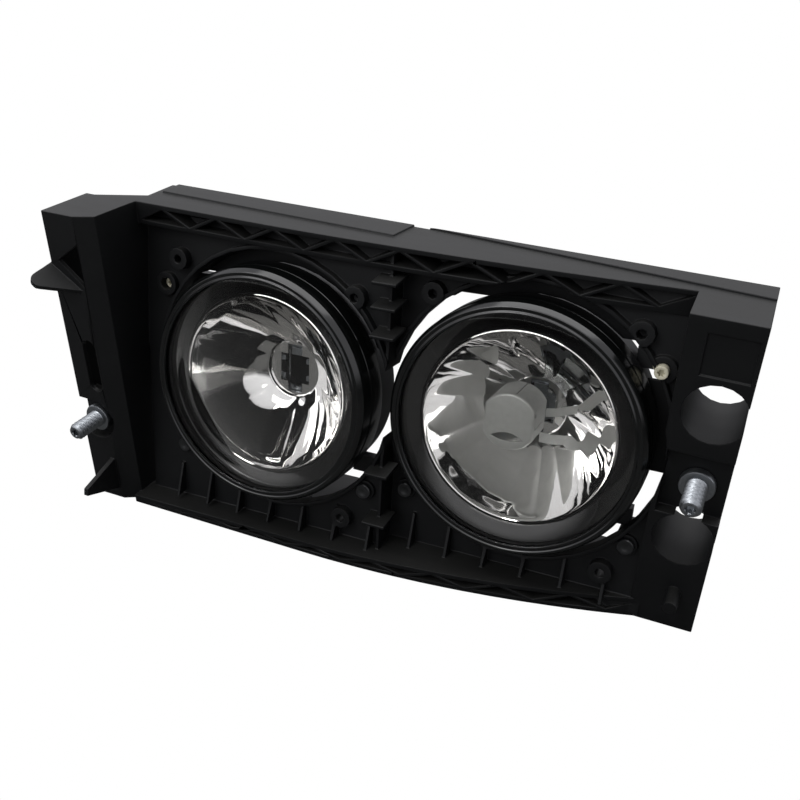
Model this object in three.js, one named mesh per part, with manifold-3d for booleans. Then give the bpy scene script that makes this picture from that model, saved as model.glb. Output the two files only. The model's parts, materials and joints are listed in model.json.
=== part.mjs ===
// A twin round fog and driving lamp in a moulded carrier, for a lorry's bumper.
// Millimetres. X runs along the bumper, the lamps look towards -Y, and +Z is up.
// The origin is on the resting face, midway between the two lamps.
import * as THREE from 'three';
import { mergeVertices } from 'three/addons/utils/BufferGeometryUtils.js';
import Module from 'manifold-3d';

const wasm = await Module();
wasm.setup();

// ---- driving dimensions ----------------------------------------------------
const LAMP_HEIGHT = 90;            // lamp centres above the resting face
const LAMP_SPREAD = 135;           // between the two lamp centres
const LAMP_STEP = 10;              // the right lamp sits this much further back
const LAMP_TILT = THREE.MathUtils.degToRad(10);
const END_LEAN = THREE.MathUtils.degToRad(2.3);   // lean of the ends and slope of the top
const OPENING_R = 70;              // round openings of the carrier
const RING_R = 63.2;               // outer radius of a lamp's ring
const RIM_R = 47.2;                // rim radius of a reflector
const WALL = 2.6;                  // carrier wall
const RIB = 1.7;                   // carrier rib
const GAP = 0.3;                   // between pieces that touch

// The carrier's outline, in its own square frame (Z from the lamps' level).
const TOP = 79;
const FLOOR = -LAMP_HEIGHT;
const REAR = 48;
const POST_X = [-182.4, -148];
const POST_FRONT = -18.2;
const FLANGE_X = [134.5, 165];
const FLANGE_FRONT = 6;
const BAND = 9.5;                  // height of the ribbed band under the top
const PLATE_DEPTH = 10;            // the back plate, behind each lamp's rim plane
const TRUSS_PITCH = 34;

const STUD_R = 4.9;                // M10 studs
const COLLAR_R = 8;
const LEFT_STUD = [-172.6, -13.5, -43];
const RIGHT_STUD = [152, 12, -2.5];
const SIDE_BORES = [[152.6, 36], [151.5, -31]];
const SIDE_BORE_R = 13.9;

// Pivots and aim screw of a lamp, from its centre in its own tilted frame.
const PIVOT = { x: 57.8, z: -50, y: 22 };
const AIM = { left: [-67, 43], right: [61, 39] };
const AIM_HEAD = { left: -1, right: 7 };          // how far the screw's head stands out of the plate
const AIM_CUP_Y = 25.5;
const BALL_R = 4;
const ROUND = 24;                  // facets round a lamp
const OPENING_FACETS = 36;

// ---- solids ------------------------------------------------------------------
function toSolid(geometry) {
  const bare = new THREE.BufferGeometry();
  bare.setAttribute('position', geometry.getAttribute('position'));
  bare.setIndex(geometry.index);
  const merged = mergeVertices(bare, 1e-4);
  const corners = merged.index.array;
  const faces = [];
  for (let i = 0; i < corners.length; i += 3) {
    const [a, b, c] = [corners[i], corners[i + 1], corners[i + 2]];
    if (a !== b && b !== c && c !== a) faces.push(a, b, c);
  }
  return new wasm.Manifold(new wasm.Mesh({
    numProp: 3,
    vertProperties: new Float32Array(merged.attributes.position.array),
    triVerts: new Uint32Array(faces),
  }));
}

function toGeometry(solid) {
  const mesh = solid.getMesh();
  const geometry = new THREE.BufferGeometry();
  geometry.setAttribute('position', new THREE.BufferAttribute(mesh.vertProperties, 3));
  geometry.setIndex(new THREE.BufferAttribute(mesh.triVerts, 1));
  return geometry;
}

const union = (solids) => solids.reduce((all, next) => all.add(next));
const cut = (solid, tools) => solid.subtract(union(tools));

function box([x1, x2], [y1, y2], [z1, z2]) {
  const geometry = new THREE.BoxGeometry(x2 - x1, y2 - y1, z2 - z1);
  return toSolid(geometry.translate((x1 + x2) / 2, (y1 + y2) / 2, (z1 + z2) / 2));
}

function shapeOf(points) {
  return new THREE.Shape(points.map(([x, y]) => new THREE.Vector2(x, y)));
}

function extrusion(shape, depth, curveSegments = 12) {
  return new THREE.ExtrudeGeometry(shape, { depth, bevelEnabled: false, curveSegments });
}

// A shape drawn in X and Z, from one Y to another.
function frontShape(shape, y1, y2, curveSegments) {
  const geometry = extrusion(shape, y2 - y1, curveSegments);
  return toSolid(geometry.rotateX(Math.PI / 2).translate(0, y2, 0));
}

// A shape drawn in X and Y, from one Z to another.
function planShape(shape, z1, z2, curveSegments) {
  return toSolid(extrusion(shape, z2 - z1, curveSegments).translate(0, 0, z1));
}

// A shape drawn in Y and Z, from one X to another.
function sideShape(shape, x1, x2, curveSegments) {
  const turn = new THREE.Matrix4().makeBasis(
    new THREE.Vector3(0, 1, 0), new THREE.Vector3(0, 0, 1), new THREE.Vector3(1, 0, 0));
  const geometry = extrusion(shape, x2 - x1, curveSegments);
  return toSolid(geometry.applyMatrix4(turn).translate(x1, 0, 0));
}

// A closed profile of [radius, y] points turned about the Y axis.
function turned(profile, segments = ROUND) {
  const points = profile.map(([r, y]) => new THREE.Vector2(r, y));
  const area = THREE.ShapeUtils.area(points);
  if (area < 0) points.reverse();
  const first = points[0];
  const last = points[points.length - 1];
  const axial = points.some((p) => p.x === 0);
  if (!axial && !first.equals(last)) points.push(first.clone());
  return toSolid(new THREE.LatheGeometry(points, segments));
}

function rod(r, y1, y2, [x, z] = [0, 0], segments = 14) {
  const geometry = new THREE.CylinderGeometry(r, r, y2 - y1, segments);
  return toSolid(geometry.translate(x, (y1 + y2) / 2, z));
}

function tube(rOuter, rInner, y1, y2, centre, segments = 14) {
  return rod(rOuter, y1, y2, centre, segments).subtract(
    rod(rInner, y1 - 1, y2 + 1, centre, segments));
}

function moved(solid, matrix) {
  return toSolid(toGeometry(solid).applyMatrix4(matrix));
}

function mesh(name, solid, color, roughness, metalness = 0) {
  const material = new THREE.MeshStandardMaterial({ color, roughness, metalness });
  const piece = new THREE.Mesh(toGeometry(solid), material);
  piece.geometry.computeVertexNormals();
  piece.name = name;
  return piece;
}

// ---- frames ------------------------------------------------------------------
const squareFrame = new THREE.Matrix4().makeRotationY(END_LEAN);

function lampFrame(side) {
  const right = side === 'right';
  const centre = new THREE.Vector3((right ? 1 : -1) * LAMP_SPREAD / 2, right ? LAMP_STEP : 0, 0);
  return new THREE.Matrix4().makeRotationX(-LAMP_TILT).setPosition(centre);
}

// ---- the carrier -----------------------------------------------------------------
// The front edges of the top and bottom follow the bumper's bow.
const bottomEdge = { x: -40, y: POST_FRONT, r: 636 };
const topEdge = { x: -100, y: 16, r: 1906 };

function bandPlan(edge, x1, x2) {
  const centreY = edge.y + edge.r;
  const end = Math.asin((x2 - edge.x) / edge.r);
  const outline = new THREE.Shape();
  outline.moveTo(x1, REAR);
  outline.lineTo(x1, edge.y);
  outline.lineTo(edge.x, edge.y);
  outline.absarc(edge.x, centreY, edge.r, -Math.PI / 2, -Math.PI / 2 + end, false);
  outline.lineTo(x2, REAR);
  return outline;
}

// A triangle shrunk by the same distance on each side.
function insetTriangle(corners, inset) {
  const side = (a, b) => Math.hypot(a[0] - b[0], a[1] - b[1]);
  const [a, b, c] = corners;
  const lengths = [side(b, c), side(c, a), side(a, b)];
  const around = lengths[0] + lengths[1] + lengths[2];
  const mean = (k) => corners.reduce((sum, p, i) => sum + lengths[i] * p[k], 0) / around;
  const centre = [mean(0), mean(1)];
  const area = Math.abs((b[0] - a[0]) * (c[1] - a[1]) - (c[0] - a[0]) * (b[1] - a[1])) / 2;
  const factor = 1 - inset * around / (2 * area);
  return corners.map((p) => [0, 1].map((k) => centre[k] + (p[k] - centre[k]) * factor));
}

// Two long walls with zigzag ribs between them, running from the front to the rear.
function trussBand(x1, x2, low, high) {
  const outline = shapeOf([[x1, low(x1)], [x2, low(x2)], [x2, high(x2)], [x1, high(x1)]]);
  const bays = Math.round((x2 - x1) / TRUSS_PITCH * 2);
  const step = (x2 - x1) / bays;
  const cells = [];
  for (let i = 0; i < bays - 1; i += 1) {
    const [near, far] = i % 2 ? [high, low] : [low, high];
    const inward = (line) => (line === low ? WALL - RIB / 2 : RIB / 2 - WALL);
    const corner = (line, k) => [x1 + k * step, line(x1 + k * step) + inward(line)];
    const triangle = [corner(near, i), corner(near, i + 2), corner(far, i + 1)];
    cells.push(frontShape(shapeOf(insetTriangle(triangle, RIB / 2)), -50, REAR + 10));
  }
  return cut(frontShape(outline, -40, REAR), cells);
}

function topBand() {
  const [x1, x2] = [POST_X[1] - 3, FLANGE_X[0] + WALL];
  const truss = trussBand(x1, x2, () => TOP - BAND - WALL, () => TOP);
  return truss.intersect(planShape(bandPlan(topEdge, x1, x2), TOP - 20, TOP + 5, 12));
}

// The strips that stand proud along the rear of the top, with a diagonal step between them.
function topStrips() {
  const left = shapeOf([[-147, 34], [-7, 30], [-4, REAR], [-147, REAR]]);
  const right = shapeOf([[4, REAR], [40, 45], [FLANGE_X[1], 34], [FLANGE_X[1], REAR]]);
  return [planShape(left, TOP - 1, TOP + 1), planShape(right, TOP - 1, TOP + 1)];
}

function bottomBand() {
  const [x1, x2] = [-157, 138];
  const floor = (x) => -81.5 + (x / 300) * 6.5;
  const truss = trussBand(x1, x2, () => FLOOR, floor);
  return truss.intersect(planShape(bandPlan(bottomEdge, x1, x2), FLOOR - 5, -60, 12));
}

// The left end: a deep hollow column, open at the back.
function endPost() {
  const [x1, x2] = POST_X;
  const low = -105;
  const outer = shapeOf([
    [x1, 15], [x1, POST_FRONT], [-162, POST_FRONT], [-152, -13], [-151, 10],
    [x2, REAR], [x2 - WALL, REAR], [-151, 27], [-177, 15]]);
  const inner = shapeOf([
    [x1 + WALL, 40], [x1 + WALL, POST_FRONT + WALL], [-163, POST_FRONT + WALL],
    [-155, -12], [-154, 11], [-152.5, 40]]);
  const hollow = planShape(inner, low - 5, TOP - WALL);
  const slot = new THREE.Shape();
  slot.absarc(-167.5, 4, 4.3, 0, Math.PI, false);
  slot.absarc(-167.5, -19, 4.3, Math.PI, 2 * Math.PI, false);
  const [studX, studY, studZ] = LEFT_STUD;
  const bore = [studX, studZ];
  const shell = cut(planShape(outer, low, TOP), [hollow, frontShape(slot, -30, 0)]);
  const well = union([
    rod(15, POST_FRONT, studY + 8, bore, 18),
    box([x1, studX], [POST_FRONT, studY + 8], [studZ - 12, studZ + 15])]);
  const scoop = union([
    rod(12.4, POST_FRONT - 5, studY + 0.5, bore, 18),
    box([x1 - 5, studX], [POST_FRONT - 5, studY + 0.5], [studZ - 9, studZ + 12.3])]);
  const socket = rod(7, studY + 2, studY + 22, bore, 14);
  const trimmed = well.intersect(planShape(outer, low, TOP));
  const drilled = rod(5.3, studY - 5, studY + 30, bore);
  return cut(union([shell, trimmed, socket]), [scoop, drilled]);
}

// Tongue and blade that hook behind the bumper's skin. The tongue slopes: it leaves the post's
// face along the line between its two roots, and its tip stands out to the left.
const TONGUE_ROOTS = [[-182.6, POST_FRONT, 51], [-163.2, POST_FRONT, 38]];
const TONGUE_OUT = [-0.131, -0.972, -0.196];

function tongue() {
  const [start, end] = TONGUE_ROOTS.map((point) => new THREE.Vector3(...point));
  const along = end.clone().sub(start).normalize();
  const out = new THREE.Vector3(...TONGUE_OUT).normalize();
  const down = along.clone().cross(out);
  const outline = new THREE.Shape();
  outline.moveTo(0, -1.5);
  outline.lineTo(0, 11.2);
  outline.absarc(4.6, 11.2, 4.6, Math.PI, Math.PI / 4, true);
  outline.lineTo(24, -1.5);
  const place = new THREE.Matrix4().makeBasis(along, out, down).setPosition(start);
  return toSolid(extrusion(outline, 3, 8).applyMatrix4(place));
}

function blade() {
  const root = POST_FRONT + 1;
  return sideShape(shapeOf([[root, -68], [-42, -75], [-43, -79], [root, -90]]), -167, -164);
}

// The window that the mould leaves behind the tongue.
function tongueWindow() {
  const outline = shapeOf([[-177, 53.2], [-162.2, 64], [-162.2, 40.6]]);
  return frontShape(outline, POST_FRONT - 1, POST_FRONT + WALL + 0.5);
}

// The right end: a deep bored block with the pocket of the second stud.
function endFlange() {
  const [x1, x2] = FLANGE_X;
  const low = -100;
  const back = REAR - 4;
  const front = box([x1, x2], [FLANGE_FRONT, FLANGE_FRONT + WALL], [low, TOP]);
  const inside = box([x1, x1 + WALL], [FLANGE_FRONT, back], [low, TOP]);
  const outside = box([x2 - WALL, x2], [FLANGE_FRONT, back], [low, TOP]);
  const lid = box([x1, x2], [FLANGE_FRONT, REAR], [TOP - WALL, TOP]);
  const foot = box([x1, x2], [FLANGE_FRONT, REAR], [-90, -80]);
  const panel = box([143, 163], [FLANGE_FRONT - 1, FLANGE_FRONT + 1], [53, 72]);
  const [studX, studY, studZ] = RIGHT_STUD;
  const pocket = [[x1, x2], [FLANGE_FRONT, studY + 6], [studZ - 18.5, studZ + 19.5]];
  const hollow = [[x1 + WALL, x2 + 5], [0, studY + 0.5], [studZ - 16, studZ + 17]];
  const socket = rod(7, studY + 2, studY + 22, [studX, studZ], 14);
  const drilled = rod(5.3, studY - 5, studY + 30, [studX, studZ]);
  const block = box([x1, x2], [FLANGE_FRONT, back], [low, TOP]);
  const tubes = SIDE_BORES.map((c) => rod(SIDE_BORE_R + 2, FLANGE_FRONT, back, c, 20));
  const bores = SIDE_BORES.map((c) => rod(SIDE_BORE_R, 0, back + 5, c, 20));
  const walls = union([front, inside, outside, lid, foot, box(...pocket), socket, ...tubes]);
  const solid = cut(walls.intersect(union([block, lid])), [panel, box(...hollow), drilled, ...bores]);
  const pin = rod(3.4, FLANGE_FRONT - 12, FLANGE_FRONT + 1, [153, -62], 16);
  return solid.add(pin);
}

// Back plate round one lamp, in the lamp's own frame, with its collar and bosses. The upper
// bosses are blind and the lowest one is open right through.
const BOSSES = {
  left: [[-57, 58], [49, 53], [45, -69]],
  right: [[-49, 57], [50, 54], [48, -67]],
};

function backPlate(side) {
  const half = LAMP_SPREAD / 2;
  const [x1, x2] = side === 'left' ? [-88, half + 1] : [-half - 1, 70];
  const depth = [PLATE_DEPTH, PLATE_DEPTH + WALL];
  const plate = box([x1, x2], depth, [-95, 90]);
  const collar = rod(OPENING_R + 2, PLATE_DEPTH - 4, PLATE_DEPTH + 4, [0, 0], OPENING_FACETS);
  const bosses = BOSSES[side].map((c) => rod(6, PLATE_DEPTH - 5, PLATE_DEPTH + 1, c, 12));
  const pads = [[-PIVOT.x, PIVOT.z], [PIVOT.x, PIVOT.z]].map((c) => (
    rod(5.5, PLATE_DEPTH - 2, PLATE_DEPTH + 5, c, 16)));
  const aimPad = rod(6.5, PLATE_DEPTH - 3, PLATE_DEPTH + 5, AIM[side], 18);
  const aimWeb = box([AIM[side][0] - 8, AIM[side][0] + 8], depth,
    [AIM[side][1] - 8, AIM[side][1] + 8]);
  return moved(union([plate, collar, ...bosses, ...pads, aimPad, aimWeb]), lampFrame(side));
}

function backPlateHoles(side) {
  const through = PLATE_DEPTH + 20;
  const blind = PLATE_DEPTH + 1;
  const bossHoles = BOSSES[side].map((c) => rod(2.3, 0, c[1] > 0 ? blind : through, c, 8));
  const pivotHoles = [[-PIVOT.x, PIVOT.z], [PIVOT.x, PIVOT.z]].map((c) => rod(2.8, 0, 30, c, 10));
  const aimHole = rod(3.4, 0, 30, AIM[side], 12);
  return [...bossHoles, ...pivotHoles, aimHole].map((tool) => moved(tool, lampFrame(side)));
}

function opening(side) {
  return moved(rod(OPENING_R, -40, 80, [0, 0], OPENING_FACETS), lampFrame(side));
}

// A skirt behind the collar that closes the gap round the lamp from above. It stops short of
// the aim screw's arm, and on the right lamp a second stretch of it follows below that arm.
const SKIRT_R = 61.7;
const SKIRT_END = { left: { outer: 51, inner: 25 }, right: { outer: 47, inner: 57 } };

function skirt(side) {
  const rings = turned([
    [OPENING_R - 0.6, PLATE_DEPTH - 1], [OPENING_R + 2, PLATE_DEPTH - 1], [OPENING_R + 2, 21],
    [SKIRT_R, 21], [SKIRT_R, 19], [OPENING_R - 0.6, 19]], OPENING_FACETS);
  const { outer, inner } = SKIRT_END[side];
  const way = side === 'left' ? -1 : 1;
  const far = way * 90;
  const outside = box([Math.min(0, far), Math.max(0, far)], [0, 60], [outer, 90]);
  const inside = box([Math.min(0, -far), Math.max(0, -far)], [0, 60], [inner, 90]);
  const kept = [outside, inside];
  if (side === 'right') kept.push(box([0, 90], [0, 60], [-14, 30.5]));
  return moved(rings.intersect(union(kept)), lampFrame(side));
}

// Upright ribs along the foot of the back plate.
function gussets() {
  const ribs = [];
  for (let x = -130; x <= 118; x += 20.6) {
    const depth = x < 0 ? 0 : LAMP_STEP;
    const outline = shapeOf([
      [depth - 12, -82], [depth + 4, -82], [depth + 4, -64], [depth - 3, -64]]);
    ribs.push(sideShape(outline, x, x + RIB));
  }
  return ribs;
}

// The middle rib, where the plate steps back, with its short cross ribs.
function middleRib() {
  const rib = shapeOf([[-9, -84], [22, 80], [38, 80], [10, -84]]);
  const cross = [-64, -36, 36, 50, 62].map((z) => {
    const y = z * Math.tan(LAMP_TILT);
    return box([-6.5, 6.5], [y - 1, y + 14], [z, z + RIB]);
  });
  return [sideShape(rib, -RIB / 2, RIB / 2), ...cross];
}

function carrier() {
  const post = cut(endPost(), [tongueWindow()]);
  const squared = union([topBand(), ...topStrips(), post, tongue(), blade(), endFlange()]);
  const envelope = frontShape(shapeOf([
    [-152, -88], [136, -88], [136, TOP - 6], [-150, TOP - 1]]), -60, 100);
  const tilted = union([
    backPlate('left').intersect(box([-300, 0.8], [-90, 200], [-200, 200])),
    backPlate('right').intersect(box([-0.8, 300], [-90, 200], [-200, 200])),
    ...gussets(), ...middleRib()]).intersect(envelope);
  const all = union([moved(squared, squareFrame), bottomBand(), tilted]);
  const under = box([-300, 300], [-200, 200], [-300, FLOOR]);
  const open = cut(all, [
    opening('left'), opening('right'), under, ...backPlateHoles('left'), ...backPlateHoles('right')]);
  return union([open, skirt('left'), skirt('right')]);
}

// ---- studs ---------------------------------------------------------------------
// A stud with a round collar; its tip has a star socket. The insert holds it in the carrier.
function mountingStud([x, y, z]) {
  const profile = [
    [0, y + 30], [STUD_R, y + 30], [STUD_R, y + 0.2], [COLLAR_R, y + 0.2], [COLLAR_R, y - 3],
    [COLLAR_R - 0.8, y - 4], [STUD_R, y - 4], [STUD_R, y - 20], [STUD_R - 1.1, y - 21.5], [2.2, y - 21.5],
    [2.2, y - 18], [0, y - 18]];
  return toSolid(toGeometry(turned(profile, 14)).translate(x, 0, z));
}

function studSleeve([x, y, z]) {
  const start = y + 22.4;
  const profile = [[STUD_R + GAP, start], [6.8, start], [6.8, start + 2], [6.1, start + 3],
    [6.1, start + 9], [STUD_R + GAP, start + 9]];
  return toSolid(toGeometry(turned(profile, 16)).translate(x, 0, z));
}

// ---- one lamp, about its own axis, y = 0 at the reflector's rim ---------------------
const REFLECTOR_DEPTH = { left: 29, right: 34 };
const NECK_R = 16.5;

function outerRing() {
  return turned([
    [57.4, -9], [60.5, -9], [RING_R, -6.5], [RING_R, 13], [61.4, 13], [61.4, -3.8],
    [60.4, -7.2], [57.4, -7.4]]);
}

function lens() {
  return turned([
    [0, -9.8], [24, -9.4], [44, -8.4], [57.2, -7.1], [59.9, -6.9], [60.2, -4.1],
    [57, -3.9], [44, -5.2], [24, -6.2], [0, -6.6]]);
}

function lensSeal() {
  return turned([[57.6, -3.6], [60.6, -3.6], [60.6, -1], [57.6, -1]]);
}

function maskRing() {
  return turned([[RIM_R + 0.4, -0.2], [57.2, -3.5], [57.2, -1.4], [RIM_R + 2.6, 1.6]]);
}

// A thin parabolic bowl from its rim to its neck, with a flat floor that the bulb stands in.
function reflector(side) {
  const depth = REFLECTOR_DEPTH[side];
  const steps = 5;
  const bowl = (r) => depth * (RIM_R ** 2 - r ** 2) / (RIM_R ** 2 - NECK_R ** 2);
  const radii = Array.from({ length: steps + 1 }, (_, i) => RIM_R + (NECK_R - RIM_R) * i / steps);
  const front = radii.map((r) => [r, bowl(r) + 0.2]);
  const back = radii.slice(1).map((r) => [r + 1.3, bowl(r) + 2.3]).reverse();
  const floor = [
    [NECK_R, depth + 3], [9, depth + 3], [9, depth + 5], [NECK_R + 1.8, depth + 5]];
  return turned([...front, ...floor, ...back, [RIM_R + 1.3, 3.8], [RIM_R + 1.4, 1.6]]);
}

// Black bowl behind the reflector, with a round bulb chamber and ears for pivots and aim.
const CHAMBER_R = 31;
const CHAMBER_END = 66;

function lampBody(side) {
  const shell = turned([
    [57.4, -0.6], [60.8, -0.6], [60.8, 33], [57.6, 38],
    [CHAMBER_R, 42], [CHAMBER_R, CHAMBER_END], [CHAMBER_R - 2.2, CHAMBER_END],
    [CHAMBER_R - 2.2, 39.8], [56.2, 35.9], [57.8, 32.6]]);
  const inside = union([rod(57, -1, 32, [0, 0], ROUND), rod(CHAMBER_R - 2.2, 30, 90, [0, 0], ROUND)]);
  const depth = [PIVOT.y - 5.5, PIVOT.y + 5.5];
  const arms = [-1, 1].map((way) => box(
    [Math.min(way * 36, way * PIVOT.x), Math.max(way * 36, way * PIVOT.x)],
    [PIVOT.y - 3, PIVOT.y + 3], [PIVOT.z + 2, PIVOT.z + 14]));
  const cups = [-1, 1].map((way) => rod(6.2, ...depth, [way * PIVOT.x, PIVOT.z], 12));
  const seats = [-1, 1].map((way) => rod(BALL_R + 0.5, depth[0] - 1, depth[1] + 1,
    [way * PIVOT.x, PIVOT.z], 12));
  const [aimX, aimZ] = AIM[side];
  const way = Math.sign(aimX);
  const aimArm = box(
    [Math.min(way * 40, aimX), Math.max(way * 40, aimX)], [AIM_CUP_Y - 3, AIM_CUP_Y + 3],
    [aimZ - 5, aimZ + 5]);
  const aimCup = rod(6.9, AIM_CUP_Y - 4, AIM_CUP_Y + 4, [aimX, aimZ], 12);
  const aimSeat = rod(5.6, AIM_CUP_Y - 5, AIM_CUP_Y + 5, [aimX, aimZ], 12);
  const plug = box([-9, 9], [39, 54], [-44, -28]);
  const plugHollow = box([-7, 7], [42.5, 52], [-46, -33]);
  const ears = union([...arms, ...cups, aimArm, aimCup, plug]);
  return cut(shell.add(cut(ears, [inside])), [...seats, aimSeat, plugHollow]);
}

function pivotStud(way) {
  const ball = new THREE.SphereGeometry(BALL_R, 10, 6);
  const centred = toSolid(ball.translate(way * PIVOT.x, PIVOT.y, PIVOT.z));
  const neck = rod(2.4, PLATE_DEPTH - 3, PIVOT.y - 1, [way * PIVOT.x, PIVOT.z], 8);
  const head = rod(4.1, PLATE_DEPTH - 4.6, PLATE_DEPTH - 2.3, [way * PIVOT.x, PIVOT.z], 8);
  return union([centred, neck, head]);
}

function aimScrew(side) {
  const [x, z] = AIM[side];
  const head = PLATE_DEPTH - AIM_HEAD[side];
  const profile = [
    [0, head], [3.1, head], [3.1, PLATE_DEPTH + 5.4],
    [5.6, PLATE_DEPTH + 5.4], [5.6, PLATE_DEPTH + 7], [2.4, PLATE_DEPTH + 7],
    [2.4, AIM_CUP_Y + 13], [0, AIM_CUP_Y + 13]];
  return toSolid(toGeometry(turned(profile, 16)).translate(x, 0, z));
}

function aimNut(side) {
  return tube(5.1, 2.9, AIM_CUP_Y - 3.8, AIM_CUP_Y + 6, AIM[side], 12);
}

// Sheet bulb holder behind the reflector, with the two ears that hold the wire clip.
function bulbHolder(side) {
  const y = REFLECTOR_DEPTH[side] + 5.4;
  const disc = tube(15, 6.2, y, y + 1, [0, 0], 32);
  const ears = [-1, 1].flatMap((way) => [
    box([way * 9 - 1.6, way * 9 + 1.6], [y, y + 5], [11.2, 12.2]),
    box([way * 9 - 1.6, way * 9 + 1.6], [y, y + 1], [10.6, 12.2])]);
  return union([disc, ...ears]);
}

function bulbClip(side) {
  const y = REFLECTOR_DEPTH[side] + 8;
  const bars = [-1, 1].map((way) => box([way * 6.6 - 0.7, way * 6.6 + 0.7], [y, y + 1.4], [-14, 10.4]));
  const loop = box([-7.3, 7.3], [y, y + 1.4], [-14, -12.6]);
  const hinge = box([-7.3, 7.3], [y, y + 1.4], [9.2, 10.4]);
  return union([...bars, loop, hinge]);
}

function bulbBase(side) {
  const y = REFLECTOR_DEPTH[side] + 6.7;
  return turned([[0, y], [9.6, y], [9.6, y + 1], [5.2, y + 1], [5.2, y + 9], [0, y + 9]], 20);
}

function bulbGlass(side) {
  const y = REFLECTOR_DEPTH[side] + 6.4;
  return turned([[0, y], [5.2, y], [5.2, y - 19], [4.2, y - 22], [2, y - 23.4], [0, y - 23.8]], 18);
}

// Cup in front of the bulb that stops stray light, on sheet legs.
const SHIELD_AT = [-5, 1];

function bulbShield() {
  const [x, z] = SHIELD_AT;
  const cup = cut(rod(14.6, 4, 24, [x, z], 28), [rod(13.6, 5, 30, [x, z], 28)]);
  const legs = [[12.4, 3], [6, -13.2]].map(([dx, dz]) => (
    box([x + dx - 2, x + dx + 2], [20, 34.5], [z + dz - 0.6, z + dz + 0.6])));
  const slot = box([x - 8, x + 8], [0, 6], [z - 10, z - 5.5]);
  return cut(union([cup, ...legs]), [slot]);
}

function rearCap() {
  const end = CHAMBER_END + 1;
  return turned([
    [0, end + 3.4], [26, end + 3.4], [33.6, end + 1.6], [34.2, end - 9], [32.2, end - 9],
    [31.8, end - 0.2], [26, end + 0.7], [0, end + 0.7]], ROUND);
}

function capGrip() {
  return union([box([-20, 20], [CHAMBER_END + 4, CHAMBER_END + 11], [-2.2, 2.2]),
    rod(7, CHAMBER_END + 4, CHAMBER_END + 8, [0, 0], 20)]);
}

function capSeal() {
  return turned([[CHAMBER_R + 0.4, 55.2], [CHAMBER_R + 2.4, 55.2], [CHAMBER_R + 2.4, 57.4],
    [CHAMBER_R + 0.4, 57.4]]);
}

function connectorPins() {
  return [-3.5, 3.5].map((x) => box([x - 0.4, x + 0.4], [46.8, 47.7], [-42, -33.3]));
}

// ---- assembly --------------------------------------------------------------------
const BLACK = 0x1b1c1e;
const ZINC = 0xc9ccd0;

function lampPieces(side) {
  const group = new THREE.Group();
  group.applyMatrix4(lampFrame(side));
  const add = (name, ...rest) => group.add(mesh(`${side}_${name}`, ...rest));
  add('lamp_body', lampBody(side), 0x151618, 0.5);
  add('lamp_ring', outerRing(), 0x0c0d0e, 0.25);
  add('lens', lens(), 0xf2f6f7, 0.03);
  add('lens_seal', lensSeal(), 0x161616, 0.8);
  add('mask_ring', maskRing(), 0x08090a, 0.08);
  add('reflector', reflector(side), 0xf2f3f5, 0.05, 1);
  add('bulb_holder', bulbHolder(side), ZINC, 0.4, 1);
  add('bulb_clip', bulbClip(side), 0xd5d7da, 0.3, 1);
  add('rear_cap', rearCap().add(capGrip()), BLACK, 0.6);
  add('cap_seal', capSeal(), 0x161616, 0.8);
  add('pivot_stud_a', pivotStud(-1), ZINC, 0.35, 1);
  add('pivot_stud_b', pivotStud(1), ZINC, 0.35, 1);
  add('aim_screw', aimScrew(side), 0xd8d6cc, 0.45);
  add('aim_nut', aimNut(side), 0xe2e0d6, 0.5);
  add('connector_pin_a', connectorPins()[0], 0xc9b27a, 0.3, 1);
  add('connector_pin_b', connectorPins()[1], 0xc9b27a, 0.3, 1);
  if (side === 'right') {
    add('bulb_glass', bulbGlass(side), 0xf4f7f8, 0.02);
    add('bulb_base', bulbBase(side), ZINC, 0.4, 1);
    add('bulb_shield', bulbShield(), 0x9ea1a4, 0.4, 1);
  }
  return group;
}

function carrierPieces() {
  const level = new THREE.Group();
  level.add(mesh('carrier', carrier(), BLACK, 0.55));
  const square = new THREE.Group();
  square.applyMatrix4(squareFrame);
  square.add(mesh('left_stud', mountingStud(LEFT_STUD), ZINC, 0.35, 1));
  square.add(mesh('right_stud', mountingStud(RIGHT_STUD), ZINC, 0.35, 1));
  square.add(mesh('left_stud_sleeve', studSleeve(LEFT_STUD), ZINC, 0.35, 1));
  square.add(mesh('right_stud_sleeve', studSleeve(RIGHT_STUD), ZINC, 0.35, 1));
  level.add(square);
  return level;
}

const fogLight = new THREE.Group();
fogLight.add(carrierPieces(), lampPieces('left'), lampPieces('right'));
fogLight.position.z = LAMP_HEIGHT;

const part = new THREE.Group();
part.add(fogLight);
export default part;
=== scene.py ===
# %% [markdown]
# # A twin round lamp for a lorry's bumper
# Two lamps sit side by side in one black moulded carrier: a long-range lamp with a plain bowl on the left, and a
# fog lamp with a fluted bowl and a shielded bulb on the right.
# The frame that is loaded first holds every working size, joint and place. This lesson dresses that frame:
# it replaces the plain solids that the eye would catch on, and it gives every surface a finish of its own.

# %% Load the frame
import json
from math import asin, atan2, cos, hypot, pi, radians, sin, tau

import bmesh
import bpy
from mathutils import Matrix, Vector


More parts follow.
